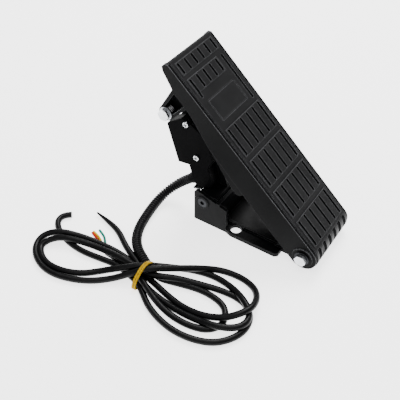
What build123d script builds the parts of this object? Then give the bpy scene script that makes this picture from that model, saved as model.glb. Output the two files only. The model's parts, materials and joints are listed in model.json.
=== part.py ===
from build123d import *
import math
import os

os.makedirs("parts", exist_ok=True)

# A floor-mounted electric accelerator pedal: a long ribbed treadle hinged at its heel to a low base,
# whose lug turns the lever of a Hall-effect sensor on a leaning upright.  Millimetres and degrees.
# X runs across the pedal, Y from heel to toe and Z up; the origin lies on the floor, midway between
# the two floor holes.

# Treadle
INCLINE = 42.4  # treadle face above the floor when released
HINGE_Y = -72.5
HINGE_Z = 14.0
TREADLE_LENGTH = 208.0  # hinge axis to toe end
HALF_WIDTH = 34.0
WALL = 3.0
PLATE_IN = 9.2  # underside of the top plate above the hinge axis
PLATE_OUT = 11.5  # top of the plate, under the tread pad
RIM = 13.2  # top of the side walls, which frame the pad
HEEL_WRAP = 118.0  # how far the plate wraps round the heel
PAD_TOP = 14.0
PAD_HALF_WIDTH = 31.9
GROOVE_PITCH = 10.0
GROOVE_COUNT = 6
GROOVE_WIDTH = 2.8
GROOVE_DEPTH = 1.5
BAR_WIDTH = 55.6
BAR_HEIGHT = 0.6
HEEL_GROOVE_WIDTH = 5.0

# Lug that carries the lever pin, in the treadle's own (u along, v out of the face) coordinates
PIN_U = 174.5
PIN_V = -25.0
LUG_END_R = 7.5
LUG_BACK_X = -23.0
CHEEK_X = 2.0
CHEEK_THICKNESS = 3.5

# Fasteners and bores
BOLT_D = 6.0
BOLT_BORE_D = 6.2
HEX_ACROSS_FLATS = 10.0
HEAD_HEIGHT = 4.0
HINGE_WASHER_D = 14.0
PIN_WASHER_D = 12.5
WASHER_THICKNESS = 1.2
RUNNING = 0.05  # radial clearance of a shaft that turns in its bush

# Hall sensor and its upright
SHAFT_Y = 54.08
SHAFT_Z = 82.72
LEAN = 17.0  # upright tips this far towards the toe
COVER_X = -22.0
COVER_THICKNESS = 1.7
SEAL_THICKNESS = 0.8
BOX_X = COVER_X + COVER_THICKNESS + SEAL_THICKNESS
BRACKET_X = -8.5
BRACKET_THICKNESS = 4.0
SCREW_SPOTS = [(1.2, 17.2), (0.0, -18.0)]  # cover screws, from the shaft
LEVER_X = -3.5
LEVER_THICKNESS = 4.5
LEVER_ANGLE = 57.9  # above the floor when released
SLOT_INNER = 31.5
SLOT_OUTER = 36.8
SLOT_WIDTH = 9.6
PIN_ROLLER_D = 8.0

OUTLET_Q = -45.0  # cable outlet, down the upright from the shaft
OUTLET_DIP = 40.0  # it points this far below level
GLAND_LENGTH = 7.0

# Base
PLATE = 4.0
FLANGE_HALF_WIDTH = 36.0
FLANGE_HEEL_Y = -48.5
WALL_X = 33.7
BASE_WALL = 3.5
WALL_HEEL_Y = 8.0
TOE_Y = 45.0
FLOOR_HOLE_X = 27.5
FLOOR_HOLE_D = 10.5
EAR_INNER_X = 20.0
EAR_THICKNESS = 6.0
EAR_R = 8.6
SIDE_BOLT_Y = 34.3
SIDE_BOLT_Z = 25.0
FOOT_TOP = 33.0
SHELF_TOP = 78.0
BUMPER_X = 12.5
BUMPER_Y = 38.5
BUMPER_HEIGHT = 8.8

# Cords
CONDUIT_D = 10.0
CABLE_D = 6.0
HANK_HEIGHT = 13.0

sin_i, cos_i = math.sin(math.radians(INCLINE)), math.cos(math.radians(INCLINE))
sin_l, cos_l = math.sin(math.radians(LEAN)), math.cos(math.radians(LEAN))
sin_o, cos_o = math.sin(math.radians(OUTLET_DIP)), math.cos(math.radians(OUTLET_DIP))


def side_plane(x):
    """Treadle side profile at x: local x runs heel to toe, local y out of the face."""
    return Plane(origin=(x, HINGE_Y, HINGE_Z), x_dir=(0, cos_i, sin_i), z_dir=(1, 0, 0))


def face_plane(height):
    """Plane parallel to the treadle face: local x across, local y heel to toe from the hinge."""
    origin = (0, HINGE_Y - height * sin_i, HINGE_Z + height * cos_i)
    return Plane(origin=origin, x_dir=(1, 0, 0), z_dir=(0, -sin_i, cos_i))


def lean_plane(x):
    """Sensor profile at x, centred on the shaft: local x towards the toe, local y up the upright."""
    return Plane(origin=(x, SHAFT_Y, SHAFT_Z), x_dir=(0, cos_l, -sin_l), z_dir=(1, 0, 0))


def yz_plane(x, y=0.0, z=0.0):
    """World side profile at x, centred on (y, z): local x is +Y and local y is +Z."""
    return Plane(origin=(x, y, z), x_dir=(0, 1, 0), z_dir=(1, 0, 0))


def treadle_point(u, v):
    """World (y, z) of a point given in treadle coordinates."""
    return HINGE_Y + u * cos_i - v * sin_i, HINGE_Z + u * sin_i + v * cos_i


def lean_point(p, q):
    """World (y, z) of a point given in sensor coordinates."""
    return SHAFT_Y + p * cos_l + q * sin_l, SHAFT_Z - p * sin_l + q * cos_l


def save(part, name):
    part.label = name
    export_step(part, f"parts/{name}.step")


PIN_Y, PIN_Z = treadle_point(PIN_U, PIN_V)

# ---------------------------------------------------------------- base

wall_outline = [(WALL_HEEL_Y, 0), (WALL_HEEL_Y, 26.5), (TOE_Y - 5, 37.0), (TOE_Y - 1.6, 35.4), (TOE_Y, 31.8), (TOE_Y, 0)]
ear_outline = [
    (HINGE_Y, HINGE_Z - EAR_R),
    (-60, 0),
    (-40, 0),
    (-40, PLATE),
    (HINGE_Y + 4, HINGE_Z + 7.4),
    (HINGE_Y, HINGE_Z),
]
rib_outline = [(-44, PLATE - 1), (-44, PLATE + 2.5), (10, PLATE + 2.5), (17, 24), (17, PLATE - 1)]

with BuildPart() as base_frame:
    with BuildSketch(Plane.XY):
        with BuildLine():
            half_plan = Polyline(
                (0, -62),
                (26, -62),
                (26, FLANGE_HEEL_Y),
                (33.5, FLANGE_HEEL_Y),
                (FLANGE_HALF_WIDTH, FLANGE_HEEL_Y + 3),
                (FLANGE_HALF_WIDTH, 1.5),
                (WALL_X, WALL_HEEL_Y),
                (WALL_X, TOE_Y),
                (0, TOE_Y),
            )
            mirror(half_plan, about=Plane.YZ)
        make_face()
    extrude(amount=PLATE)
    # Side walls, with a sloping top
    for x in (-WALL_X, WALL_X - BASE_WALL):
        with BuildSketch(yz_plane(x)):
            with BuildLine():
                Polyline(*wall_outline, close=True)
            make_face()
        extrude(amount=BASE_WALL)
    # Cross wall on the heel side of the upright's foot, and a low toe wall
    for y, top in ((16.0, 31.0), (TOE_Y - 3.2, 20.0)):
        with BuildSketch(Plane.XY):
            with Locations((0, y + 1.6)):
                Rectangle(2 * WALL_X, 3.2)
        extrude(amount=top)
    # Hinge ears
    for x in (-EAR_INNER_X - EAR_THICKNESS, EAR_INNER_X):
        with BuildSketch(yz_plane(x)):
            with BuildLine():
                Polyline(*ear_outline, close=True)
            make_face()
            with Locations((HINGE_Y, HINGE_Z)):
                Circle(EAR_R)
        extrude(amount=EAR_THICKNESS)
    # Stiffening ribs between the ears and the cross wall
    for x in (-23.0, 23.0):
        with BuildSketch(yz_plane(x - 1.2)):
            with BuildLine():
                Polyline(*rib_outline, close=True)
            make_face()
        extrude(amount=2.4)
    # Raised rings round the side bolts
    for x in (-WALL_X - 1.0, WALL_X):
        with BuildSketch(yz_plane(x, SIDE_BOLT_Y, SIDE_BOLT_Z)):
            Circle(7.0)
        extrude(amount=1.0)
    toe_corners = base_frame.edges().filter_by(Axis.Z).group_by(Axis.Y)[-1]
    fillet([e for e in toe_corners if abs(e.center().X) > WALL_X - 1], 2.8)
    # Bores: hinge bushes, side bolts with recessed heads, floor holes
    with BuildSketch(yz_plane(-40, HINGE_Y, HINGE_Z)):
        Circle(6.25)
    extrude(amount=80, mode=Mode.SUBTRACT)
    with BuildSketch(yz_plane(-40, SIDE_BOLT_Y, SIDE_BOLT_Z)):
        Circle(BOLT_BORE_D / 2)
    extrude(amount=80, mode=Mode.SUBTRACT)
    for x in (-WALL_X - 1.0, WALL_X - 1.2):
        with BuildSketch(yz_plane(x, SIDE_BOLT_Y, SIDE_BOLT_Z)):
            Circle(5.4)
        extrude(amount=2.2, mode=Mode.SUBTRACT)
    with Locations((-FLOOR_HOLE_X, 0, PLATE), (FLOOR_HOLE_X, 0, PLATE)):
        CounterBoreHole(FLOOR_HOLE_D / 2, 6.4, 0.5, depth=PLATE)
save(base_frame.part, "base_frame")

with BuildPart() as ear_bushes:
    for side in (-1, 1):
        outer = side * (EAR_INNER_X + EAR_THICKNESS)
        with BuildSketch(yz_plane(min(side * EAR_INNER_X, outer), HINGE_Y, HINGE_Z)):
            Circle(6.25)
        extrude(amount=EAR_THICKNESS)
        with BuildSketch(yz_plane(min(outer, outer + side * 1.0), HINGE_Y, HINGE_Z)):
            Circle(7.6)
        extrude(amount=1.0)
    with BuildSketch(yz_plane(-40, HINGE_Y, HINGE_Z)):
        Circle(5.0 + RUNNING)
    extrude(amount=80, mode=Mode.SUBTRACT)
save(ear_bushes.part, "ear_bushes")

# ---------------------------------------------------------------- upright

SENSOR_TOE = 24.0
SENSOR_HEEL = -17.0
TUB_TOE = 12.0
TUB_HEEL = -9.0
TUB_BOTTOM = -53.0
STEP_Q = -25.5


def sensor_outline(inset=0.0):
    """Closed outline of the sensor box with its narrower, round-bottomed cable tub."""
    with BuildSketch(mode=Mode.PRIVATE) as outline:
        with BuildLine():
            Polyline(
                (SENSOR_TOE, STEP_Q),
                (SENSOR_TOE, 17.0),
                (6.0, 22.3),
                (0.0, 21.2),
                (SENSOR_HEEL, 2.4),
                (SENSOR_HEEL, STEP_Q + 4),
                (TUB_HEEL, STEP_Q - 4),
                (TUB_HEEL, TUB_BOTTOM),
                (TUB_TOE, TUB_BOTTOM),
                (TUB_TOE, STEP_Q - 2),
                close=True,
            )
        make_face()
        fillet(outline.vertices().group_by(Axis.Y)[0], 8.0)
        fillet(outline.vertices().sort_by(Axis.X)[-2:].sort_by(Axis.Y)[-1], 3.0)
        fillet(outline.vertices().filter_by_position(Axis.Y, 18, 25), 1.5)
        if inset:
            offset(amount=-inset, kind=Kind.INTERSECTION)
    return outline.sketch


with BuildPart() as sensor_bracket:
    # Hollow foot between the base walls
    with BuildSketch(Plane.XY.offset(PLATE)):
        with Locations((0, 30.7)):
            Rectangle(2 * (WALL_X - BASE_WALL) - 0.2, 21.6)
    extrude(amount=FOOT_TOP - PLATE)
    fillet(sensor_bracket.edges().filter_by(Axis.X).group_by(Axis.Z)[-1], 2.0)
    with BuildSketch(Plane.XY.offset(PLATE)):
        with Locations((0, 30.7)):
            Rectangle(50, 15.6)
    extrude(amount=FOOT_TOP - PLATE - 3.5, mode=Mode.SUBTRACT)
    # Relief for the round bottom of the sensor's tub
    with BuildSketch(lean_plane(COVER_X - 2)):
        add(sensor_outline(-0.4))
    extrude(amount=BRACKET_X - COVER_X + 2, mode=Mode.SUBTRACT)
    # Leaning upright behind the sensor, with a rib down its heel edge
    upright_outline = [
        (21, FOOT_TOP - 3.5),
        (40.5, FOOT_TOP - 3.5),
        (51, 44),
        (67, 52),
        (77.5, 84),
        (77, 93),
        (70.5, 104.5),
        (64.5, 104.5),
        (56, 97),
        (40, 84.5),
    ]
    with BuildSketch(yz_plane(BRACKET_X)):
        with BuildLine():
            Polyline(*upright_outline, close=True)
        make_face()
    extrude(amount=BRACKET_THICKNESS)
    with BuildSketch(yz_plane(BRACKET_X)):
        with BuildLine():
            Polyline((21, FOOT_TOP - 3.5), (27, FOOT_TOP - 3.5), (44.5, 78), (40, 84.5), close=True)
        make_face()
    extrude(amount=14.0)
    # Shelf that carries the full-travel bumper
    with BuildSketch(yz_plane(BRACKET_X)):
        with BuildLine():
            Polyline((31, 74), (BUMPER_Y + 6.5, 74), (BUMPER_Y + 6.5, SHELF_TOP), (34, SHELF_TOP), close=True)
        make_face()
    extrude(amount=BUMPER_X + 7.0 - BRACKET_X)
    with BuildSketch(yz_plane(BRACKET_X - 1, SHAFT_Y, SHAFT_Z)):
        Circle(8.5)
    extrude(amount=BRACKET_THICKNESS + 1, mode=Mode.SUBTRACT)
    with BuildSketch(lean_plane(BRACKET_X - 1)):
        with Locations(*SCREW_SPOTS):
            Circle(1.75)
    extrude(amount=BRACKET_THICKNESS + 1, mode=Mode.SUBTRACT)
    with BuildSketch(yz_plane(-40, SIDE_BOLT_Y, SIDE_BOLT_Z)):
        Circle(BOLT_D / 2)
    extrude(amount=80, mode=Mode.SUBTRACT)
    with BuildSketch(Plane.XY.offset(70)):
        with Locations((BUMPER_X, BUMPER_Y)):
            Circle(2.6)
    extrude(amount=12, mode=Mode.SUBTRACT)
save(sensor_bracket.part, "sensor_bracket")

with BuildPart() as travel_bumper:
    with BuildSketch(Plane.XY.offset(SHELF_TOP)):
        with Locations((BUMPER_X, BUMPER_Y)):
            Circle(6.0)
    extrude(amount=BUMPER_HEIGHT)
    fillet(travel_bumper.edges().group_by(Axis.Z)[-1], 2.5)
    # Stem through the shelf, with a barb under it
    with BuildSketch(Plane.XY.offset(SHELF_TOP - 7)):
        with Locations((BUMPER_X, BUMPER_Y)):
            Circle(2.55)
    extrude(amount=7.0)
    with BuildSketch(Plane.XY.offset(SHELF_TOP - 7)):
        with Locations((BUMPER_X, BUMPER_Y)):
            Circle(3.6)
    extrude(amount=2.9)
save(travel_bumper.part, "travel_bumper")

with BuildPart() as side_bolts:
    for side in (-1, 1):
        face = side * (WALL_X - 1.2)
        head_end = side * (WALL_X + 0.8)
        with BuildSketch(yz_plane(min(face, head_end), SIDE_BOLT_Y, SIDE_BOLT_Z)):
            Circle(5.0)
        extrude(amount=abs(head_end - face))
        shank_end = side * (WALL_X - 1.2 - 10.0)
        with BuildSketch(yz_plane(min(face, shank_end), SIDE_BOLT_Y, SIDE_BOLT_Z)):
            Circle(BOLT_D / 2)
        extrude(amount=10.0)
        socket = side * (WALL_X - 0.7)
        with BuildSketch(yz_plane(min(socket, head_end), SIDE_BOLT_Y, SIDE_BOLT_Z)):
            RegularPolygon(2.0, 6, major_radius=False)
        extrude(amount=abs(head_end - socket), mode=Mode.SUBTRACT)
save(side_bolts.part, "side_bolts")

# ---------------------------------------------------------------- Hall sensor

tub_toe_face = Plane(origin=(-15, *lean_point(TUB_TOE, OUTLET_Q)), x_dir=(1, 0, 0), z_dir=(0, cos_l, -sin_l))
outlet_plane = Plane(origin=tub_toe_face.origin, x_dir=(1, 0, 0), z_dir=(0, cos_o, -sin_o))

with BuildPart() as sensor_housing:
    with BuildSketch(lean_plane(BOX_X)):
        add(sensor_outline())
    extrude(amount=BRACKET_X - BOX_X)
    with BuildSketch(lean_plane(BOX_X)):
        Circle(11.5)
        with Locations((1.5, -24)):
            Rectangle(13, 44)
    extrude(amount=8.0, mode=Mode.SUBTRACT)
    with BuildSketch(lean_plane(BOX_X)):
        with Locations(*SCREW_SPOTS):
            Circle(3.4)
    extrude(amount=8.0)
    # Spigot that centres the box in the upright
    with BuildSketch(yz_plane(BRACKET_X, SHAFT_Y, SHAFT_Z)):
        Circle(8.4)
    extrude(amount=3.0)
    with BuildSketch(yz_plane(-40, SHAFT_Y, SHAFT_Z)):
        Circle(5.0)
    extrude(amount=60, mode=Mode.SUBTRACT)
    with BuildSketch(lean_plane(-40)):
        with Locations(*SCREW_SPOTS):
            Circle(1.9)
    extrude(amount=60, mode=Mode.SUBTRACT)
    # Cable outlet through the toe wall of the tub
    with BuildSketch(outlet_plane.offset(-6)):
        Circle(3.9)
    extrude(amount=12, mode=Mode.SUBTRACT)
save(sensor_housing.part, "sensor_housing")

with BuildPart() as cover_seal:
    with BuildSketch(lean_plane(COVER_X + COVER_THICKNESS)):
        add(sensor_outline(0.8))
        add(sensor_outline(2.4), mode=Mode.SUBTRACT)
        with Locations(SCREW_SPOTS[0]):
            Circle(2.9)
            Circle(1.9, mode=Mode.SUBTRACT)
    extrude(amount=SEAL_THICKNESS)
save(cover_seal.part, "cover_seal")

with BuildPart() as sensor_cover:
    with BuildSketch(lean_plane(COVER_X)):
        add(sensor_outline())
    extrude(amount=COVER_THICKNESS)
    fillet(sensor_cover.faces().sort_by(Axis.X)[0].edges(), 0.6)
    with BuildSketch(lean_plane(COVER_X)):
        with Locations(*SCREW_SPOTS):
            Circle(1.9)
    extrude(amount=COVER_THICKNESS, mode=Mode.SUBTRACT)
save(sensor_cover.part, "sensor_cover")

with BuildPart() as sensor_screws:
    with BuildSketch(lean_plane(COVER_X - 1.9)):
        with Locations(*SCREW_SPOTS):
            Circle(2.9)
    extrude(amount=1.9)
    fillet(sensor_screws.edges().group_by(Axis.X)[0], 0.9)
    # Cross recess
    with BuildSketch(lean_plane(COVER_X - 1.9)):
        with Locations(*SCREW_SPOTS):
            Rectangle(4.0, 1.1)
            Rectangle(1.1, 4.0)
    extrude(amount=1.5, mode=Mode.SUBTRACT)
    with BuildSketch(lean_plane(COVER_X)):
        with Locations(*SCREW_SPOTS):
            Circle(1.7)
    extrude(amount=BRACKET_X + BRACKET_THICKNESS - COVER_X)
save(sensor_screws.part, "sensor_screws")

with BuildPart() as circuit_board:
    with BuildSketch(lean_plane(BOX_X + 0.4)):
        Circle(10.8)
        with Locations((1.5, -24)):
            Rectangle(12.2, 40)
        with Locations(*SCREW_SPOTS):
            Circle(3.8, mode=Mode.SUBTRACT)
    extrude(amount=1.4)
save(circuit_board.part, "circuit_board")

with BuildPart() as hall_chips:
    with BuildSketch(lean_plane(BOX_X + 1.8)):
        with Locations((-3.0, 0), (3.0, 0)):
            Rectangle(4.0, 3.4)
    extrude(amount=1.2)
save(hall_chips.part, "hall_chips")

with BuildPart() as rotor_bush:
    with BuildSketch(yz_plane(BOX_X + 8.0, SHAFT_Y, SHAFT_Z)):
        Circle(5.0)
        Circle(3.0 + RUNNING, mode=Mode.SUBTRACT)
    extrude(amount=6.0)
save(rotor_bush.part, "rotor_bush")

# ---------------------------------------------------------------- lever

with BuildPart() as magnet_rotor:
    with BuildSketch(yz_plane(BOX_X + 5.0, SHAFT_Y, SHAFT_Z)):
        Circle(8.0)
        Circle(3.0, mode=Mode.SUBTRACT)
    extrude(amount=2.6)
save(magnet_rotor.part, "magnet_rotor")

with BuildPart() as ring_magnet:
    with BuildSketch(yz_plane(BOX_X + 3.6, SHAFT_Y, SHAFT_Z)):
        Circle(6.5)
        Circle(3.0, mode=Mode.SUBTRACT)
    extrude(amount=1.4)
save(ring_magnet.part, "ring_magnet")

with BuildPart() as rotor_shaft:
    with BuildSketch(yz_plane(BOX_X + 3.6, SHAFT_Y, SHAFT_Z)):
        Circle(3.0)
    extrude(amount=LEVER_X + LEVER_THICKNESS - BOX_X - 3.6)
save(rotor_shaft.part, "rotor_shaft")

lever_plane = Plane(
    origin=(LEVER_X, SHAFT_Y, SHAFT_Z),
    x_dir=(0, math.cos(math.radians(LEVER_ANGLE)), math.sin(math.radians(LEVER_ANGLE))),
    z_dir=(1, 0, 0),
)
with BuildPart() as sensor_lever:
    with BuildSketch(lever_plane):
        with Locations((0, 0)):
            Circle(8.0)
        with Locations(((SLOT_INNER + SLOT_OUTER) / 2, 0)):
            SlotOverall(SLOT_OUTER - SLOT_INNER + 18.0, 18.0)
        make_hull()
    extrude(amount=LEVER_THICKNESS)
    with BuildSketch(lever_plane):
        with Locations(((SLOT_INNER + SLOT_OUTER) / 2, 0)):
            SlotOverall(SLOT_OUTER - SLOT_INNER + SLOT_WIDTH, SLOT_WIDTH)
        Circle(3.0)
    extrude(amount=LEVER_THICKNESS, mode=Mode.SUBTRACT)
    fillet(sensor_lever.edges().group_by(Axis.X)[-1].filter_by(GeomType.LINE), 0.4)
save(sensor_lever.part, "sensor_lever")

with BuildPart() as lever_screw:
    with BuildSketch(yz_plane(LEVER_X + LEVER_THICKNESS, SHAFT_Y, SHAFT_Z)):
        Circle(4.2)
    extrude(amount=0.8)
    fillet(lever_screw.faces().sort_by(Axis.X)[-1].edges(), 0.5)
save(lever_screw.part, "lever_screw")

# ---------------------------------------------------------------- treadle

side_outline = [
    (0, RIM),
    (TREADLE_LENGTH - 2.5, RIM),
    (TREADLE_LENGTH, RIM - 2.5),
    (TREADLE_LENGTH, 6.8),
    (204.5, 4.4),
    (187.0, -0.8),
    (160.0, -2.8),
    (126.0, -10.2),
    (75.0, -12.0),
    (30.0, -RIM),
    (0, -RIM),
]
tongue_outline = [(130, -6), (126, -10.5), (104, -16.2), (86, -19.8), (80, -20.2), (76.5, -18), (75, -6)]
lug_outline = [(167, PLATE_IN), (167, PIN_V), (182, PIN_V), (187.5, 0), (187.5, PLATE_IN)]
lug_pocket = [(170, -2), (170, PIN_V), (179, PIN_V), (183.5, -2)]

with BuildPart() as treadle_body:
    # Top plate, wrapped round the heel, with the toe wall
    with BuildSketch(side_plane(0)):
        with BuildLine():
            wrap_in = CenterArc((0, 0), PLATE_IN, 90, HEEL_WRAP)
            wrap_out = CenterArc((0, 0), PLATE_OUT, 90, HEEL_WRAP)
            Line(wrap_in @ 1, wrap_out @ 1)
            Polyline(
                wrap_out @ 0,
                (TREADLE_LENGTH - 0.5, PLATE_OUT),
                (TREADLE_LENGTH - 0.5, 6.8),
                (TREADLE_LENGTH - 3.0, 5.0),
                (TREADLE_LENGTH - 3.0, PLATE_IN),
                wrap_in @ 0,
            )
        make_face()
    extrude(amount=HALF_WIDTH - WALL / 2, both=True)
    # Side walls with round heel bosses
    for x in (-HALF_WIDTH, HALF_WIDTH - WALL):
        with BuildSketch(side_plane(x)):
            with BuildLine():
                Polyline(*side_outline)
                CenterArc((0, 0), RIM, 90, 180)
            make_face()
        extrude(amount=WALL)
    # Tongues that hang inside the side walls
    for x in (-HALF_WIDTH + 1.3, HALF_WIDTH - 3.3):
        with BuildSketch(side_plane(x)):
            with BuildLine():
                Polyline(*tongue_outline, close=True)
            make_face()
        extrude(amount=2.0)
    # Lug for the lever pin: an open channel on the left, a flat cheek on the right
    for x, depth in ((-HALF_WIDTH, HALF_WIDTH + LUG_BACK_X), (CHEEK_X, CHEEK_THICKNESS)):
        with BuildSketch(side_plane(x)):
            with BuildLine():
                Polyline(*lug_outline, close=True)
            make_face()
            with Locations((PIN_U, PIN_V)):
                Circle(LUG_END_R)
        extrude(amount=depth)
    with BuildSketch(side_plane(-HALF_WIDTH)):
        with BuildLine():
            Polyline(*lug_pocket, close=True)
        make_face()
        with Locations((PIN_U, PIN_V)):
            Circle(5.2)
    extrude(amount=HALF_WIDTH + LUG_BACK_X - 2.5, mode=Mode.SUBTRACT)
    # Stiffening ribs under the plate
    for x in (-27.5, 21.0):
        with BuildSketch(side_plane(x)):
            with BuildLine():
                Polyline((12, PLATE_IN + 0.5), (12, 6), (60, 0), (150, 2), (200, 6), (200, PLATE_IN + 0.5), close=True)
            make_face()
        extrude(amount=2.0)
    for u in (34.0, 66.0, 98.0, 198.0):
        with BuildSketch(face_plane(PLATE_IN + 0.5)):
            with Locations((0, u)):
                Rectangle(2 * HALF_WIDTH - 4, 2.0)
        extrude(amount=-4.5)
    # Rings round the hinge bolt, and the bores
    for x in (-HALF_WIDTH - 1.0, HALF_WIDTH):
        with BuildSketch(side_plane(x)):
            Circle(10.0)
        extrude(amount=1.0)
    with BuildSketch(side_plane(-50)):
        Circle(BOLT_BORE_D / 2)
        with Locations((PIN_U, PIN_V)):
            Circle(BOLT_BORE_D / 2)
    extrude(amount=100, mode=Mode.SUBTRACT)
save(treadle_body.part, "treadle_body")

# Groove rows along the tread: start, end, measured from the hinge; the heel rows are alike
groove_rows = [(3.0, 30.0), (36.5, 64.0), (70.5, 98.0), (104.5, 132.0), (191.0, 201.8)]
groove_xs = [(i - (GROOVE_COUNT - 1) / 2) * GROOVE_PITCH for i in range(GROOVE_COUNT)]
PAD_TOE = TREADLE_LENGTH - 1.4
PANEL_CENTRE = (-2.0, 150.8)
PANEL_SIZE = (41.0, 21.6)

with BuildPart() as tread_pad:
    with BuildSketch(side_plane(0)):
        with BuildLine():
            pad_in = CenterArc((0, 0), PLATE_OUT, 90, HEEL_WRAP - 8)
            pad_out = CenterArc((0, 0), PAD_TOP, 90, HEEL_WRAP - 8)
            Line(pad_in @ 1, pad_out @ 1)
            Polyline(pad_out @ 0, (PAD_TOE, PAD_TOP), (PAD_TOE, PLATE_OUT), pad_in @ 0)
        make_face()
    extrude(amount=PAD_HALF_WIDTH - WALL + 2, both=True)
    fillet(tread_pad.faces().sort_by(Axis.X)[0].edges().filter_by(GeomType.LINE), 0.4)
    fillet(tread_pad.faces().sort_by(Axis.X)[-1].edges().filter_by(GeomType.LINE), 0.4)
    # Low raised bars between the grooves, one block of them for each row
    with BuildSketch(face_plane(PAD_TOP - 0.2)):
        for start, end in groove_rows:
            with Locations((0, (start + end) / 2)):
                Rectangle(BAR_WIDTH, end - start + 1.6)
        with Locations((groove_xs[0] / 2 + groove_xs[5] / 2 - 5.0, 178.7)):
            Rectangle(BAR_WIDTH - 10.0, 14.6)
    extrude(amount=BAR_HEIGHT + 0.2)
    with BuildSketch(face_plane(PAD_TOP - GROOVE_DEPTH)):
        for start, end in groove_rows:
            with Locations([(x, (start + end) / 2) for x in groove_xs]):
                SlotOverall(end - start, GROOVE_WIDTH, rotation=90)
        # Second row from the toe: its left groove is longer
        with Locations([(x, 178.7) for x in groove_xs[1:5]]):
            SlotOverall(13.0, GROOVE_WIDTH, rotation=90)
        with Locations((groove_xs[0], 175.7)):
            SlotOverall(19.0, GROOVE_WIDTH, rotation=90)
        with Locations((groove_xs[5], 161.0)):
            SlotOverall(48.0, GROOVE_WIDTH, rotation=90)
    extrude(amount=GROOVE_DEPTH + 2, mode=Mode.SUBTRACT)
    # Fine line round the smooth square panel
    with BuildSketch(face_plane(PAD_TOP - 0.5)):
        with Locations(PANEL_CENTRE):
            RectangleRounded(PANEL_SIZE[0], PANEL_SIZE[1], 1.5)
            RectangleRounded(PANEL_SIZE[0] - 1.6, PANEL_SIZE[1] - 1.6, 0.8, mode=Mode.SUBTRACT)
    extrude(amount=1.5, mode=Mode.SUBTRACT)
    # Grooves that wrap round the heel
    for x in groove_xs:
        with BuildSketch(side_plane(x - HEEL_GROOVE_WIDTH / 2)):
            with BuildLine():
                heel_in = CenterArc((0, 0), PLATE_OUT + 0.5, 95, HEEL_WRAP)
                heel_out = CenterArc((0, 0), PAD_TOP + 2, 95, HEEL_WRAP)
                Line(heel_in @ 0, heel_out @ 0)
                Line(heel_in @ 1, heel_out @ 1)
            make_face()
        extrude(amount=HEEL_GROOVE_WIDTH, mode=Mode.SUBTRACT)
save(tread_pad.part, "tread_pad")


def hex_bolt(x_head, length, y, z):
    """Hex bolt along +X whose head starts at x_head; length is the shank's."""
    with BuildPart() as bolt:
        with BuildSketch(yz_plane(x_head, y, z)):
            RegularPolygon(HEX_ACROSS_FLATS / 2, 6, major_radius=False)
        extrude(amount=HEAD_HEIGHT)
        with BuildSketch(yz_plane(x_head, y, z)):
            Circle(HEX_ACROSS_FLATS / 2 + 0.45)
        extrude(amount=HEAD_HEIGHT, mode=Mode.INTERSECT)
        with BuildSketch(yz_plane(x_head + HEAD_HEIGHT, y, z)):
            Circle(BOLT_D / 2)
        extrude(amount=length)
    return bolt.part


def ring(x, thickness, outer_d, inner_d, y, z):
    """Flat ring or sleeve along +X."""
    with BuildPart() as part:
        with BuildSketch(yz_plane(x, y, z)):
            Circle(outer_d / 2)
            Circle(inner_d / 2, mode=Mode.SUBTRACT)
        extrude(amount=thickness)
    return part.part


def lock_nut(x, y, z):
    """Hex nut with a round collar for its locking ring, along +X."""
    with BuildPart() as nut:
        with BuildSketch(yz_plane(x, y, z)):
            RegularPolygon(HEX_ACROSS_FLATS / 2, 6, major_radius=False)
        extrude(amount=4.0)
        with BuildSketch(yz_plane(x + 4.0, y, z)):
            Circle(HEX_ACROSS_FLATS / 2 - 0.3)
        extrude(amount=1.6)
        fillet(nut.faces().sort_by(Axis.X)[-1].edges(), 0.7)
        with BuildSketch(yz_plane(x, y, z)):
            Circle(BOLT_D / 2)
        extrude(amount=5.6, mode=Mode.SUBTRACT)
    return nut.part


boss_x = HALF_WIDTH + 1.0
for name, x in (("hinge_washer_left", -boss_x - WASHER_THICKNESS), ("hinge_washer_right", boss_x)):
    save(ring(x, WASHER_THICKNESS, HINGE_WASHER_D, BOLT_BORE_D, HINGE_Y, HINGE_Z), name)
hinge_head_x = -boss_x - WASHER_THICKNESS - HEAD_HEIGHT
hinge_shank = 2 * (boss_x + WASHER_THICKNESS) + 7.0
save(hex_bolt(hinge_head_x, hinge_shank, HINGE_Y, HINGE_Z), "hinge_bolt")
save(lock_nut(boss_x + WASHER_THICKNESS, HINGE_Y, HINGE_Z), "hinge_nut")
save(ring(-HALF_WIDTH + WALL, 2 * (HALF_WIDTH - WALL), 10.0, BOLT_BORE_D, HINGE_Y, HINGE_Z), "hinge_sleeve")

pin_head_x = -HALF_WIDTH - WASHER_THICKNESS - HEAD_HEIGHT
save(ring(-HALF_WIDTH - WASHER_THICKNESS, WASHER_THICKNESS, PIN_WASHER_D, BOLT_BORE_D, PIN_Y, PIN_Z), "pin_washer")
pin_nut_x = CHEEK_X + CHEEK_THICKNESS
save(hex_bolt(pin_head_x, pin_nut_x + 7.0 - pin_head_x - HEAD_HEIGHT, PIN_Y, PIN_Z), "lever_pin_bolt")
save(lock_nut(pin_nut_x, PIN_Y, PIN_Z), "lever_pin_nut")
save(ring(LEVER_X - 0.9, CHEEK_X - LEVER_X + 0.9, PIN_ROLLER_D, BOLT_D, PIN_Y, PIN_Z), "pin_roller")


# Springs, each as the closed sleeve that its coils fill
save(ring(-HALF_WIDTH + 0.2, 8.0, 10.0, 6.8, PIN_Y, PIN_Z), "lug_spring")
for name, x in (("heel_spring_left", -18.0), ("heel_spring_right", 6.0)):
    save(ring(x, 12.0, 15.2, 11.2, HINGE_Y, HINGE_Z), name)

# ---------------------------------------------------------------- cable

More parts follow.
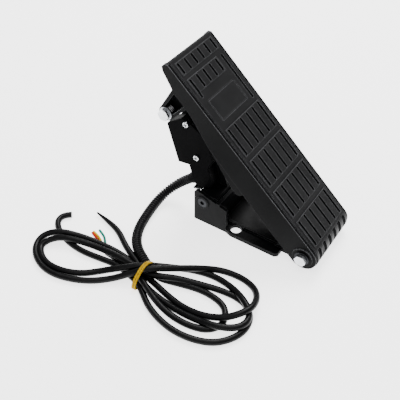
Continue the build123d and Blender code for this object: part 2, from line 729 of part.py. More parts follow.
with BuildPart() as conduit_gland:
    with BuildSketch(outlet_plane.offset(-6)):
        Circle(6.3)
    extrude(amount=GLAND_LENGTH)
    with BuildSketch(outlet_plane.offset(GLAND_LENGTH - 6)):
        Circle(6.3)
    with BuildSketch(outlet_plane.offset(GLAND_LENGTH)):
        Circle(5.5)
    loft()
    # Its foot sits flat on the tub, with a hollow spigot through the wall
    split(bisect_by=tub_toe_face, keep=Keep.TOP)
    with BuildSketch(outlet_plane.offset(-4)):
        Circle(3.9)
    extrude(amount=8)
    with BuildSketch(outlet_plane.offset(-4)):
        Circle(2.8)
    extrude(amount=8, mode=Mode.SUBTRACT)
save(conduit_gland.part, "conduit_gland")

with BuildPart() as conduit_clip:
    with BuildSketch(lean_plane(COVER_X - 0.5)):
        with Locations((9.5, TUB_BOTTOM - 0.8)):
            Rectangle(9.6, 1.6)
    extrude(amount=10.0)
save(conduit_clip.part, "conduit_clip")


def cord(points, diameter, name):
    """Tube along straight runs joined by tangent arcs, each as large as its runs allow."""
    points = [Vector(*p) for p in points]
    radii = []
    for before, here, after in zip(points, points[1:], points[2:]):
        turn = math.radians((here - before).get_angle(after - here))
        shorter = min((here - before).length, (after - here).length)
        radii.append(0.45 * shorter / math.tan(turn / 2))
    with BuildPart() as tube:
        with BuildLine() as path:
            FilletPolyline(*points, radius=radii)
        with BuildSketch(Plane(origin=path.line @ 0, z_dir=path.line % 0)):
            Circle(diameter / 2)
        sweep()
    length = path.wires()[0].length
    ratio = tube.part.volume / (math.pi * diameter**2 / 4 * length)
    print(name, "length", round(length, 1), "radii", [round(r) for r in radii], "volume ratio", round(ratio, 3))
    save(tube.part, name)


# The conduit leaves the gland, drops to the floor and curves round to the bound waist of the hank
mouth = outlet_plane.offset(GLAND_LENGTH).origin
first_bend = outlet_plane.offset(GLAND_LENGTH + 11.6).origin
conduit_route = [
    tuple(mouth),
    tuple(first_bend),
    (-19.7, 75.2, 16.6),
    (-27.8, 81.1, 10.7),
    (-39.0, 83.1, 7.3),
    (-50.8, 82.5, 5.8),
    (-62.3, 80.7, 5.2),
    (-74.0, 78.1, 5.0),
    (-84.0, 74.0, 5.0),
    (-93.5, 67.6, 5.0),
    (-101.0, 60.0, 5.0),
    (-107.5, 51.7, 5.0),
]
tail_a_route = [
    (-117.9, 142.9, 3.1),
    (-114.8, 147.0, 3.1),
    (-110.3, 149.3, 3.1),
    (-105.0, 148.6, 3.1),
    (-101.0, 145.4, 3.1),
    (-98.8, 141.0, 3.1),
]
tail_b_route = [
    (-109.4, 65.6, 3.1),
    (-101.5, 77.0, 3.1),
    (-92.5, 91.5, 3.1),
    (-87.0, 107.0, 3.1),
    (-83.3, 124.6, 3.1),
]
cord(conduit_route, CONDUIT_D, "conduit")
cord(tail_a_route, CABLE_D, "cable_tail_a")
cord(tail_b_route, CABLE_D, "cable_tail_b")

# The two lobes of the hank, drawn in at the waist, with flats where the conduit and two tails leave it
hank_outline = [
    (-102.8, 48.0),
    (-105.5, 42.5),
    (-104.0, 33.0),
    (-96.0, 20.0),
    (-84.5, 0.0),
    (-77.0, -13.0),
    (-73.5, -35.0),
    (-80.0, -56.0),
    (-97.0, -67.0),
    (-125.0, -68.0),
    (-148.0, -55.0),
    (-158.5, -30.0),
    (-157.0, 0.0),
    (-146.0, 22.0),
    (-138.5, 34.0),
    (-137.5, 41.0),
    (-143.0, 53.0),
    (-157.0, 72.0),
    (-165.5, 90.0),
    (-167.5, 115.0),
    (-158.0, 138.0),
    (-144.0, 149.0),
    (-129.0, 150.0),
    (-120.8, 144.9),
    (-115.2, 140.7),
    (-111.5, 122.0),
    (-110.0, 90.0),
    (-112.4, 67.5),
    (-106.6, 63.5),
    (-112.2, 55.4),
]
waist_plane = Plane(origin=(-121.5, 39.6, 0), x_dir=(0.974, 0.227, 0), z_dir=(0.227, -0.974, 0))
with BuildPart() as rubber_band:
    with BuildSketch(waist_plane.offset(-1.7)):
        with Locations((0, HANK_HEIGHT / 2 + 0.4)):
            RectangleRounded(36.0, HANK_HEIGHT + 0.8, 5.0)
            RectangleRounded(33.2, HANK_HEIGHT - 2.0, 4.0, mode=Mode.SUBTRACT)
    extrude(amount=3.4)
save(rubber_band.part, "rubber_band")

with BuildPart() as cable_hank:
    with BuildSketch(Plane.XY):
        with BuildLine():
            Polyline(*hank_outline, close=True)
        make_face()
    extrude(amount=HANK_HEIGHT)
    add(rubber_band.part, mode=Mode.SUBTRACT)
save(cable_hank.part, "cable_hank")
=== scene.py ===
"""Looks for an organ-type accelerator foot pedal with its sensor lead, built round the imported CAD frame."""
import json
import math

import bpy
from mathutils import Matrix, Vector


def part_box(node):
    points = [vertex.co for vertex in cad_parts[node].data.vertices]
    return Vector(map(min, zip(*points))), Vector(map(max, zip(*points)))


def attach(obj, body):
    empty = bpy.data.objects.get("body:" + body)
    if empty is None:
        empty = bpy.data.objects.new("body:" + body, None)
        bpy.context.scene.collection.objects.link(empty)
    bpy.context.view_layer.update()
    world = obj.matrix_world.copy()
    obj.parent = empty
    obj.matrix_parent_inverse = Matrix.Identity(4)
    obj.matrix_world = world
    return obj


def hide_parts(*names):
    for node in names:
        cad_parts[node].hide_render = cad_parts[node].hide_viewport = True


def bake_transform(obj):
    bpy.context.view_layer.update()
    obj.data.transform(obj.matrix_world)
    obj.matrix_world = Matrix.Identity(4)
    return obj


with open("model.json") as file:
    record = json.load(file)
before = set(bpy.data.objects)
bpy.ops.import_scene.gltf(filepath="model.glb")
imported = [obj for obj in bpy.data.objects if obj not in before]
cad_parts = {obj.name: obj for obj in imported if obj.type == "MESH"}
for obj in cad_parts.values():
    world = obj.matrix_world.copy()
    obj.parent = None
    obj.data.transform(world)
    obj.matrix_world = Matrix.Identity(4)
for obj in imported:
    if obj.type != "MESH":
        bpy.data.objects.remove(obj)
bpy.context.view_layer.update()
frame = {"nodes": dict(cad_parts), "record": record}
nodes = frame["nodes"]

# ---------------------------------------------------------------- camera
AZIMUTH, ELEVATION, ROLL = (math.radians(v) for v in (-57.13, 43.15, 0.53))
back = Vector((math.sin(AZIMUTH) * math.cos(ELEVATION), -math.cos(AZIMUTH) * math.cos(ELEVATION),
               math.sin(ELEVATION)))
level = Vector((math.cos(AZIMUTH), math.sin(AZIMUTH), 0.0))
upward = back.cross(level)
right = level * math.cos(ROLL) + upward * math.sin(ROLL)
up = upward * math.cos(ROLL) - level * math.sin(ROLL)
camera_data = bpy.data.cameras.new("camera")
camera_data.lens = 59.12
camera_data.sensor_width = 36.0
camera_data.clip_end = 20.0
camera = bpy.data.objects.new("camera", camera_data)
camera.matrix_world = Matrix.Translation((-0.4144, -0.2088, 0.4519)) @ Matrix((right, up, back)).transposed().to_4x4()
bpy.context.scene.collection.objects.link(camera)
bpy.context.scene.camera = camera

# ---------------------------------------------------------------- cord routes, metres
# Corrugated conduit: out of the gland, down to the floor, round to the tie
CONDUIT = [
    (-0.015, 0.0578, 0.0317), (-0.015, 0.0667, 0.0242), (-0.0197, 0.0752, 0.0166), (-0.0278, 0.0811, 0.0107),
    (-0.039, 0.0831, 0.0073), (-0.0508, 0.0825, 0.0058), (-0.0623, 0.0807, 0.0052), (-0.074, 0.0781, 0.005),
    (-0.084, 0.0745, 0.005), (-0.094, 0.0685, 0.005), (-0.102, 0.060, 0.005), (-0.1075, 0.0505, 0.005),
    (-0.112, 0.0425, 0.005), (-0.1155, 0.0355, 0.005),
]
# Sensor lead: out of the conduit in the tie, one loop, back through the tie to its stripped end
LEAD = [
    (-0.1155, 0.0355, 0.005), (-0.118, 0.0265, 0.004), (-0.115, 0.016, 0.0031), (-0.111, 0.002, 0.0031),
    (-0.108, -0.012, 0.0031), (-0.108, -0.025, 0.0031), (-0.111, -0.0375, 0.0031), (-0.119, -0.045, 0.0031),
    (-0.130, -0.0475, 0.0031), (-0.1405, -0.040, 0.0031), (-0.145, -0.025, 0.0031), (-0.145, -0.008, 0.0031),
    (-0.1425, 0.006, 0.005), (-0.1385, 0.019, 0.0082), (-0.1285, 0.038, 0.008), (-0.1255, 0.048, 0.0072),
    (-0.122, 0.0575, 0.0031), (-0.1205, 0.068, 0.0031), (-0.119, 0.076, 0.0031), (-0.1185, 0.0835, 0.0031),
]
# Long cable, wound in two sets of loops through the tie, with both ends loose
CABLE = [
    # blunt end and the outer loop on the right
    (-0.099, 0.1435, 0.0031), (-0.103, 0.149, 0.0031), (-0.1115, 0.150, 0.0031), (-0.119, 0.1435, 0.0031),
    (-0.125, 0.132, 0.0031), (-0.129, 0.118, 0.0031), (-0.130, 0.102, 0.0031), (-0.128, 0.086, 0.0031),
    (-0.1255, 0.069, 0.0031), (-0.127, 0.055, 0.0031), (-0.1315, 0.038, 0.0031), (-0.1385, 0.028, 0.0031),
    (-0.147, 0.016, 0.0031), (-0.1535, 0.0, 0.0031), (-0.1565, -0.018, 0.0031), (-0.1545, -0.036, 0.0031),
    (-0.148, -0.0515, 0.0031), (-0.1365, -0.0615, 0.0031), (-0.124, -0.066, 0.0031), (-0.1115, -0.0645, 0.0031),
    (-0.1015, -0.0565, 0.0031), (-0.0975, -0.044, 0.0031), (-0.0985, -0.027, 0.0031), (-0.104, -0.0085, 0.0045),
    (-0.112, 0.0095, 0.0085), (-0.119, 0.0235, 0.009), (-0.123, 0.037, 0.0082),
    # inner loop on the left
    (-0.1205, 0.0515, 0.0082), (-0.1205, 0.065, 0.0086), (-0.1195, 0.0885, 0.0058), (-0.1235, 0.109, 0.007),
    (-0.1295, 0.127, 0.0082), (-0.1375, 0.1375, 0.0055), (-0.1475, 0.1405, 0.0031), (-0.1585, 0.125, 0.0031),
    (-0.159, 0.106, 0.0031), (-0.1515, 0.0865, 0.0031), (-0.1385, 0.073, 0.0035), (-0.1295, 0.0555, 0.0105),
    (-0.119, 0.0395, 0.0138),
    # second loop on the right
    (-0.111, 0.0315, 0.010), (-0.102, 0.020, 0.0065), (-0.0925, 0.006, 0.0031), (-0.088, -0.013, 0.0031),
    (-0.091, -0.0335, 0.0045), (-0.100, -0.051, 0.0082), (-0.1085, -0.062, 0.008), (-0.119, -0.0655, 0.0082),
    (-0.129, -0.060, 0.0077), (-0.1365, -0.0465, 0.0086), (-0.138, -0.026, 0.005), (-0.1375, -0.006, 0.0031),
    (-0.1355, 0.012, 0.0031), (-0.132, 0.028, 0.0031), (-0.1265, 0.039, 0.0031),
    # outer loop on the left
    (-0.120, 0.050, 0.0031), (-0.1145, 0.062, 0.0031), (-0.113, 0.0775, 0.0035), (-0.1145, 0.096, 0.0045),
    (-0.118, 0.1155, 0.006), (-0.125, 0.134, 0.0082), (-0.1335, 0.1455, 0.0055), (-0.145, 0.1465, 0.0031),
    (-0.157, 0.137, 0.0031), (-0.165, 0.120, 0.0031), (-0.1645, 0.100, 0.0031), (-0.1555, 0.077, 0.0031),
    (-0.1425, 0.0605, 0.004), (-0.1315, 0.0465, 0.0098), (-0.1245, 0.037, 0.0145),
    # top loop on the right, and the thin end
    (-0.118, 0.029, 0.0152), (-0.106, 0.016, 0.0118), (-0.092, 0.001, 0.0082), (-0.0785, -0.015, 0.0031),
    (-0.076, -0.035, 0.0031), (-0.0805, -0.0505, 0.004), (-0.0915, -0.0595, 0.008), (-0.1065, -0.063, 0.0132),
    (-0.1185, -0.057, 0.0127), (-0.1275, -0.045, 0.0085), (-0.1325, -0.027, 0.0055), (-0.132, -0.008, 0.0031),
    (-0.1285, 0.010, 0.0031), (-0.124, 0.026, 0.0031), (-0.121, 0.040, 0.0031), (-0.114, 0.051, 0.003),
    (-0.109, 0.062, 0.0031), (-0.102, 0.0755, 0.0031), (-0.0915, 0.091, 0.0031), (-0.0865, 0.107, 0.0031),
    (-0.083, 0.1246, 0.0031),
]
RED_WIRE = [(-0.1193, 0.0800, 0.0034), (-0.1183, 0.0850, 0.0026), (-0.1150, 0.0925, 0.0012),
            (-0.1108, 0.1005, 0.0012), (-0.1072, 0.1075, 0.0012), (-0.1052, 0.1125, 0.0012)]
YELLOW_WIRE = [(-0.1180, 0.0800, 0.0030), (-0.1172, 0.0850, 0.0024), (-0.1134, 0.0920, 0.0012),
               (-0.1086, 0.0995, 0.0012), (-0.1052, 0.1060, 0.0012), (-0.1036, 0.1125, 0.0012)]
GREEN_WIRE = [(-0.1182, 0.0800, 0.0018), (-0.1166, 0.0850, 0.0015), (-0.1122, 0.0905, 0.0012),
              (-0.1066, 0.0960, 0.0012), (-0.1020, 0.1010, 0.0012), (-0.0990, 0.1090, 0.0012)]


def cord_curve(name, points, diameter, sides=6, end_radii=None):
    """One open NURBS spline through the route, with a round bevel."""
    data = bpy.data.curves.new(name, "CURVE")
    data.dimensions = "3D"
    data.bevel_depth = 1.0 if diameter else 0.0
    data.bevel_resolution = sides
    data.resolution_u = 10
    data.use_fill_caps = True
    spline = data.splines.new("NURBS")
    spline.points.add(len(points) - 1)
    for point, place in zip(spline.points, points):
        point.co = (*place, 1.0)
        point.radius = diameter / 2
    for index, share in (end_radii or {}).items():
        spline.points[index].radius = share * diameter / 2
    spline.use_endpoint_u = True
    spline.order_u = 3
    spline.use_smooth = True
    obj = bpy.data.objects.new(name, data)
    bpy.context.scene.collection.objects.link(obj)
    return obj


def spline_line(points):
    """The points of a route's own NURBS spline, read from it with no bevel."""
    plain = cord_curve("plain_line", points, 0.0)
    plain.data.use_fill_caps = False
    bpy.context.view_layer.update()
    mesh = bpy.data.meshes.new_from_object(plain)
    line = [v.co.copy() for v in mesh.vertices]
    bpy.data.objects.remove(plain)
    return line


def even_points(line, spacing):
    """Points a fixed distance apart along a line, with its direction at each."""
    out = []
    travelled, wanted = 0.0, 0.0
    for a, b in zip(line, line[1:]):
        step = (b - a).length
        while step > 0 and wanted <= travelled + step:
            out.append((a.lerp(b, (wanted - travelled) / step), (b - a).normalized(), wanted))
            wanted += spacing
        travelled += step
    out.append((line[-1].copy(), (line[-1] - line[-2]).normalized(), travelled))
    return out


def ring_faces(count, sides, closed):
    """Quads between neighbouring rings of vertices; a closed tube also joins its last ring to its first."""
    faces = []
    for i in range(count if closed else count - 1):
        j = (i + 1) % count
        for k in range(sides):
            m = (k + 1) % sides
            faces.append((i * sides + k, i * sides + m, j * sides + m, j * sides + k))
    return faces


def smooth_object(name, vertices, faces):
    mesh = bpy.data.meshes.new(name)
    mesh.from_pydata([tuple(v) for v in vertices], [], faces)
    mesh.polygons.foreach_set("use_smooth", [True] * len(mesh.polygons))
    mesh.update()
    obj = bpy.data.objects.new(name, mesh)
    bpy.context.scene.collection.objects.link(obj)
    return obj


def swept(name, rings, sides, radius_at):
    """A capped tube round the given (point, direction, distance) rings, its frame carried along without twist."""
    vertices = []
    normal = Vector((0.0, 0.0, 1.0))
    for point, along, distance in rings:
        normal = normal - along * normal.dot(along)
        if normal.length < 1e-4:
            normal = along.orthogonal()
        normal.normalize()
        side = along.cross(normal)
        radius = radius_at(distance)
        for k in range(sides):
            turn = 2 * math.pi * k / sides
            vertices.append(point + side * (radius * math.cos(turn)) + normal * (radius * math.sin(turn)))
    faces = ring_faces(len(rings), sides, closed=False)
    faces.append(tuple(range(sides - 1, -1, -1)))
    faces.append(tuple((len(rings) - 1) * sides + k for k in range(sides)))
    return smooth_object(name, vertices, faces)


RIDGE_PITCH = 0.0027
RIDGE_DEPTH = 0.0013
CONDUIT_D = 0.0098
CABLE_D = 0.0060
WIRE_D = 0.0024


def ridge_radius(distance):
    """Rounded ridges with narrow valleys."""
    wave = 0.5 + 0.5 * math.cos(2 * math.pi * distance / RIDGE_PITCH)
    return CONDUIT_D / 2 - RIDGE_DEPTH * (1.0 - wave ** 0.6)


conduit_line = spline_line(CONDUIT)
conduit = swept("corrugated_conduit", even_points(conduit_line, RIDGE_PITCH / 8), 32, ridge_radius)
lead = cord_curve("sensor_lead", LEAD, CABLE_D)
cable = cord_curve("long_cable", CABLE, CABLE_D, end_radii={-1: 0.30, -2: 0.86})
wires = [
    cord_curve("wire_red", RED_WIRE, WIRE_D, 4),
    cord_curve("wire_yellow", YELLOW_WIRE, WIRE_D, 4),
    cord_curve("wire_green", GREEN_WIRE, WIRE_D, 4),
]


# Rubber band: two strands side by side, wrapped once round the bundle
BAND_CENTRE = Vector((-0.1238, 0.0368, 0.0))
BAND_ACROSS = Vector((0.9990, 0.0450, 0.0))
BAND_ALONG = Vector((0.0450, -0.9990, 0.0))
BAND_SHAPE = [
    (-0.0152, 0.0024), (-0.0150, 0.0062), (-0.0126, 0.0108), (-0.0072, 0.0152), (-0.0016, 0.0184),
    (0.0034, 0.0188), (0.0082, 0.0164), (0.0120, 0.0126), (0.0142, 0.0080), (0.0138, 0.0030),
    (0.0104, 0.0012), (0.0040, 0.0010), (-0.0040, 0.0010), (-0.0116, 0.0011),
]
BAND_HALF_WIDTH = 0.00095
BAND_HALF_THICKNESS = 0.00075
BAND_OFFSET = 0.0010
BAND_SIDES = 12
BAND_SQUARENESS = 0.6


def band_line(name, offset, slant):
    """One strand's path: a closed spline through the band's shape, shifted along the bundle."""
    data = bpy.data.curves.new(name, "CURVE")
    data.dimensions = "3D"
    data.resolution_u = 12
    spline = data.splines.new("NURBS")
    spline.points.add(len(BAND_SHAPE) - 1)
    for point, (across, height) in zip(spline.points, BAND_SHAPE):
        shift = offset + slant * across
        point.co = (*(BAND_CENTRE + BAND_ACROSS * across + BAND_ALONG * shift + Vector((0, 0, height))), 1.0)
    spline.use_cyclic_u = True
    spline.order_u = 3
    holder = bpy.data.objects.new(name + "_line", data)
    bpy.context.scene.collection.objects.link(holder)
    bpy.context.view_layer.update()
    mesh = bpy.data.meshes.new_from_object(holder)
    line = [v.co.copy() for v in mesh.vertices]
    bpy.data.objects.remove(holder)
    return line


def band_mesh(name, offset, slant):
    """A strand with a rounded rectangular section, wider along the bundle than it is thick."""
    line = band_line(name, offset, slant)
    count = len(line)
    vertices = []
    for i, point in enumerate(line):
        along = (line[(i + 1) % count] - line[i - 1]).normalized()
        outward = BAND_ALONG.cross(along).normalized()
        for k in range(BAND_SIDES):
            turn = 2 * math.pi * k / BAND_SIDES
            wide = math.copysign(abs(math.cos(turn)) ** BAND_SQUARENESS, math.cos(turn))
            thick = math.copysign(abs(math.sin(turn)) ** BAND_SQUARENESS, math.sin(turn))
            vertices.append(point + BAND_ALONG * (BAND_HALF_WIDTH * wide) + outward * (BAND_HALF_THICKNESS * thick))
    return smooth_object(name, vertices, ring_faces(count, BAND_SIDES, closed=True))


bands = [band_mesh("band_strand_near", -BAND_OFFSET, 0.09), band_mesh("band_strand_far", BAND_OFFSET, 0.08)]

for piece in (conduit, lead, cable, *wires, *bands):
    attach(piece, "root")
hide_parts("conduit")
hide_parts("cable_hank", "cable_tail_a", "cable_tail_b")
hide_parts("rubber_band")


# ---------------------------------------------------------------- springs
COIL_STEPS = 32
SLOPE = math.radians(42.4)
HEEL_WIRE_D = 0.0021
LUG_WIRE_D = 0.0014
LUG_TURNS = 4.0


def coil_points(centre, radius, x0, x1, turns, start_angle):
    """A coil round a bolt that lies along X; the angle is measured from +Y towards +Z."""
    points = []
    steps = int(turns * COIL_STEPS)
    for i in range(steps + 1):
        part = i / steps
        angle = start_angle + 2 * math.pi * turns * part
        points.append((x0 + (x1 - x0) * part, centre[0] + radius * math.cos(angle),
                       centre[1] + radius * math.sin(angle)))
    return points


def wire_mesh(name, points, wire_d, sides=12):
    """A bent steel wire through close points."""
    line = [Vector(p) for p in points]
    rings = []
    for i, point in enumerate(line):
        before, after = line[max(i - 1, 0)], line[min(i + 1, len(line) - 1)]
        rings.append((point, (after - before).normalized(), 0.0))
    return swept(name, rings, sides, lambda distance: wire_d / 2)


hinge_lo, hinge_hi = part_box("hinge_sleeve")
hinge = ((hinge_lo.y + hinge_hi.y) / 2, (hinge_lo.z + hinge_hi.z) / 2)
for side in ("left", "right"):
    lo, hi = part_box(f"heel_spring_{side}")
    radius = (hi.z - lo.z - HEEL_WIRE_D) / 2
    ends = (lo.x + HEEL_WIRE_D / 2, hi.x - HEEL_WIRE_D / 2)
    outer, inner = ends if side == "left" else ends[::-1]
    # The lower leg lies forward over the base floor, the upper leg lies under the treadle
    turns = 4 + (math.pi + SLOPE) / (2 * math.pi)
    coil = coil_points(hinge, radius, outer, inner, turns, -math.pi / 2)
    low = [(outer, hinge[0] + reach, hinge[1] - radius) for reach in (0.022, 0.016, 0.010, 0.005)]
    top = Vector(coil[-1])
    along_u = Vector((0.0, math.cos(SLOPE), math.sin(SLOPE)))
    high = [tuple(top + along_u * reach) for reach in (0.004, 0.009, 0.015, 0.021)]
    heel_coil = wire_mesh(f"heel_coil_{side}", low + coil + high, HEEL_WIRE_D)
    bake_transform(heel_coil)
    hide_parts(f"heel_spring_{side}")

lug_lo, lug_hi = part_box("lug_spring")
pin = ((lug_lo.y + lug_hi.y) / 2, (lug_lo.z + lug_hi.z) / 2)
lug_radius = (lug_hi.z - lug_lo.z - LUG_WIRE_D) / 2
lug_coil_points = coil_points(pin, lug_radius, lug_lo.x + LUG_WIRE_D / 2, lug_hi.x - LUG_WIRE_D / 2, LUG_TURNS, SLOPE)
lug_coil = wire_mesh("lug_coil", lug_coil_points, LUG_WIRE_D)
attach(lug_coil, "treadle")
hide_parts("lug_spring")


# ---------------------------------------------------------------- materials
class Graph:
    """A material's nodes, made and linked in one call each; an existing material can be added to."""

    def __init__(self, name, material=None):
        self.material = material or bpy.data.materials.new(name)
        self.material.use_nodes = True
        self.tree = self.material.node_tree
        self.shader = self.tree.nodes["Principled BSDF"]
        coordinates = self.tree.nodes.new("ShaderNodeTexCoord")
        self.place = coordinates.outputs["Object"]

    def add(self, kind, inputs=None, **settings):
        node = self.tree.nodes.new(kind)
        for key, value in settings.items():
            setattr(node, key, value)
        for key, value in (inputs or {}).items():
            if isinstance(value, bpy.types.NodeSocket):
                self.tree.links.new(value, node.inputs[key])
            else:
                node.inputs[key].default_value = value
        return node

    def noise(self, scale, detail=3.0, roughness=0.55, stretch=None, distortion=0.0):
        place = self.place
        if stretch:
            place = self.add("ShaderNodeMapping", {"Vector": place, "Scale": stretch}).outputs["Vector"]
        node = self.add("ShaderNodeTexNoise", {
            "Vector": place, "Scale": scale, "Detail": detail, "Roughness": roughness, "Distortion": distortion})
        return node.outputs["Fac"]

    def spread(self, value, low, high, out_low=0.0, out_high=1.0):
        return self.add("ShaderNodeMapRange", {
            "Value": value, "From Min": low, "From Max": high, "To Min": out_low, "To Max": out_high,
        }).outputs["Result"]

    def blend(self, factor, a, b):
        node = self.add("ShaderNodeMix", data_type="RGBA")
        self.link(factor, node.inputs["Factor"])
        colour_inputs = [i for i in node.inputs if i.type == "RGBA"]
        for socket, value in zip(colour_inputs, (a, b)):
            if isinstance(value, bpy.types.NodeSocket):
                self.link(value, socket)
            else:
                socket.default_value = (*value, 1.0)
        return [o for o in node.outputs if o.type == "RGBA"][0]

    def link(self, a, b):
        self.tree.links.new(a, b)

    def bump(self, layers):
        """Bumps laid over each other: (height, strength, distance in metres)."""
        normal = None
        for height, strength, distance in layers:
            inputs = {"Height": height, "Strength": strength, "Distance": distance}
            if normal is not None:
                inputs["Normal"] = normal
            normal = self.add("ShaderNodeBump", inputs).outputs["Normal"]
        self.link(normal, self.shader.inputs["Normal"])

    def edge(self, radius):
        """1 along sharp outer edges, most where they face up into the light as a painted highlight, 0 on flat faces.
        """
        rounded = self.add("ShaderNodeBevel", {"Radius": radius}, samples=6).outputs["Normal"]
        flat = self.add("ShaderNodeNewGeometry").outputs["Normal"]
        agree = self.add("ShaderNodeVectorMath", {0: rounded, 1: flat}, operation="DOT_PRODUCT").outputs["Value"]
        # Edges that face up get the most painted highlight.
        upward_lit = self.spread(self.add("ShaderNodeSeparateXYZ", {"Vector": rounded}).outputs["Z"], -0.1, 0.6, 0.2, 1.0)
        sharp = self.spread(agree, 0.99, 0.88)
        return self.add("ShaderNodeMath", {0: sharp, 1: upward_lit}, operation="MULTIPLY").outputs[0]

    def hollow(self, distance):
        """0 deep in recesses, 1 in the open; the mask for painted shade in recesses."""
        node = self.add("ShaderNodeAmbientOcclusion", {"Distance": distance}, samples=6)
        return self.spread(node.outputs["AO"], 0.35, 0.85)

    def upward(self):
        """1 on faces that look up, 0 on the rest."""
        normal = self.add("ShaderNodeNewGeometry").outputs["Normal"]
        z = self.add("ShaderNodeSeparateXYZ", {"Vector": normal}).outputs["Z"]
        return self.spread(z, 0.2, 0.95)


def shade(colour, factor):
    return tuple(c * factor for c in colour)


def moulded(name, colour, rough, grain=0.0006, grain_depth=0.00003, dust=0.25, specular=0.5, wear_and_highlight=0.0,
            wear_and_highlight_radius=0.0006, recess_shade=0.0):
    """Satin moulded plastic or rubber: fine spark grain, cloudy sheen, faint scuffs and settled dust, plus optional
    lighter worn edges that are partly painted highlight and optional painted shade in recesses.
    """
    g = Graph(name)
    cloudy = g.spread(g.noise(22, 4), 0.35, 0.68)
    base = g.blend(cloudy, shade(colour, 0.82), shade(colour, 1.22))
    scuff = g.spread(g.noise(260, 5, 0.6, stretch=(1.0, 0.12, 1.0), distortion=0.4), 0.60, 0.78)
    scuffed = g.blend(g.spread(scuff, 0, 1, 0.0, 0.20), base, shade(colour, 3.2))
    dusting = g.add("ShaderNodeMath", {0: g.upward(), 1: g.spread(g.noise(55, 5), 0.42, 0.75)}, operation="MULTIPLY")
    final = g.blend(g.spread(dusting.outputs[0], 0, 1, 0.0, dust), scuffed, (0.16, 0.158, 0.152))
    if wear_and_highlight:
        # Painted highlight mixed with real rubbing: lighter along sharp edges, most on those that face up.
        rubbed_and_highlit = g.add("ShaderNodeMath", {0: g.edge(wear_and_highlight_radius), 1: g.spread(g.noise(120, 3), 0.3, 0.6, 0.7, 1.0)},
                       operation="MULTIPLY").outputs[0]
        final = g.blend(g.spread(rubbed_and_highlit, 0, 1, 0.0, wear_and_highlight), final, (0.15, 0.152, 0.16))
    if recess_shade:
        # Painted shade: near black deep in recesses and grooves.
        final = g.blend(g.hollow(recess_shade), (0.0004, 0.0004, 0.0005), final)
    g.link(final, g.shader.inputs["Base Color"])
    g.link(g.spread(g.noise(70, 4), 0.3, 0.7, rough - 0.07, rough + 0.08), g.shader.inputs["Roughness"])
    g.shader.inputs["Specular IOR Level"].default_value = specular
    grain_height = g.noise(1.0 / grain, 2, 0.5)
    g.bump([(grain_height, 0.55, grain_depth), (g.noise(140, 3), 0.35, 0.00006)])
    return g.material


def metal(name, colour, rough, streak=(1.0, 1.0, 1.0), spots=0.0, spot_colour=(0.25, 0.2, 0.15)):
    """Plated or ground metal: fine streaks, cloudy gloss, dull spots, and painted shade in recesses."""
    g = Graph(name)
    cloudy = g.spread(g.noise(120, 4), 0.35, 0.7)
    base = g.blend(cloudy, shade(colour, 0.80), colour)
    spotting = g.spread(g.noise(520, 4, 0.65), 0.62, 0.74, 0.0, spots)
    plated = g.blend(spotting, base, spot_colour)
    # Painted shade: near black deep in recesses such as cross slots and threads.
    g.link(g.blend(g.hollow(0.0015), shade(colour, 0.06), plated), g.shader.inputs["Base Color"])
    g.shader.inputs["Metallic"].default_value = 1.0
    g.link(g.spread(g.noise(300, 4), 0.3, 0.7, rough - 0.06, rough + 0.1), g.shader.inputs["Roughness"])
    g.bump([(g.noise(2200, 3, 0.6, stretch=streak), 0.35, 0.00002), (g.noise(400, 2), 0.2, 0.00004)])
    return g.material


def jacket(name, colour, rough, gloss=0.09, recess_shade=0.0):
    """Extruded PVC: soft gloss, faint draw lines and handling marks, with optional painted shade in hollows."""
    g = Graph(name)
    cloudy = g.spread(g.noise(60, 4), 0.35, 0.7)
    base = g.blend(cloudy, shade(colour, 0.8), shade(colour, 1.25))
    marks = g.spread(g.noise(700, 4, 0.6), 0.62, 0.8, 0.0, 0.25)
    final = g.blend(marks, base, shade(colour, 3.0))
    if recess_shade:
        # Painted shade: near black deep in the valleys between ridges.
        final = g.blend(g.hollow(recess_shade), (0.0003, 0.0003, 0.0004), final)
    g.link(final, g.shader.inputs["Base Color"])
    g.link(g.spread(g.noise(180, 3), 0.3, 0.7, rough - 0.06, rough + 0.08), g.shader.inputs["Roughness"])
    g.shader.inputs["Specular IOR Level"].default_value = gloss
    g.bump([(g.noise(1500, 2), 0.35, 0.00002), (g.noise(160, 2), 0.3, 0.00010)])
    return g.material


def elastic(name, light, dark):
    """Thin yellow elastic: mottled at random between a bright and a browner yellow."""
    g = Graph(name)
    mottled = g.spread(g.noise(420, 3), 0.38, 0.66)
    base = g.blend(mottled, dark, light)
    g.link(base, g.shader.inputs["Base Color"])
    g.link(g.spread(g.noise(300, 3), 0.3, 0.7, 0.34, 0.5), g.shader.inputs["Roughness"])
    g.shader.inputs["Specular IOR Level"].default_value = 0.12
    g.bump([(g.noise(900, 2), 0.3, 0.00004)])
    return g.material


def printed_board(name):
    """Green solder mask with copper tracks showing through."""
    g = Graph(name)
    tracks = g.add("ShaderNodeTexBrick", {
        "Vector": g.add("ShaderNodeMapping", {
            "Vector": g.place, "Rotation": (0.0, math.pi / 2, 0.0)}).outputs["Vector"],
        "Scale": 60.0, "Mortar Size": 0.012})
    base = g.blend(g.spread(g.noise(90, 3), 0.35, 0.7), (0.010, 0.055, 0.022), (0.016, 0.085, 0.033))
    g.link(g.blend(g.spread(tracks.outputs["Fac"], 0, 1, 0.0, 0.7), base, (0.05, 0.16, 0.06)),
           g.shader.inputs["Base Color"])
    g.link(g.spread(g.noise(200, 2), 0.3, 0.7, 0.25, 0.35), g.shader.inputs["Roughness"])
    g.bump([(tracks.outputs["Fac"], 0.4, 0.00003)])
    return g.material
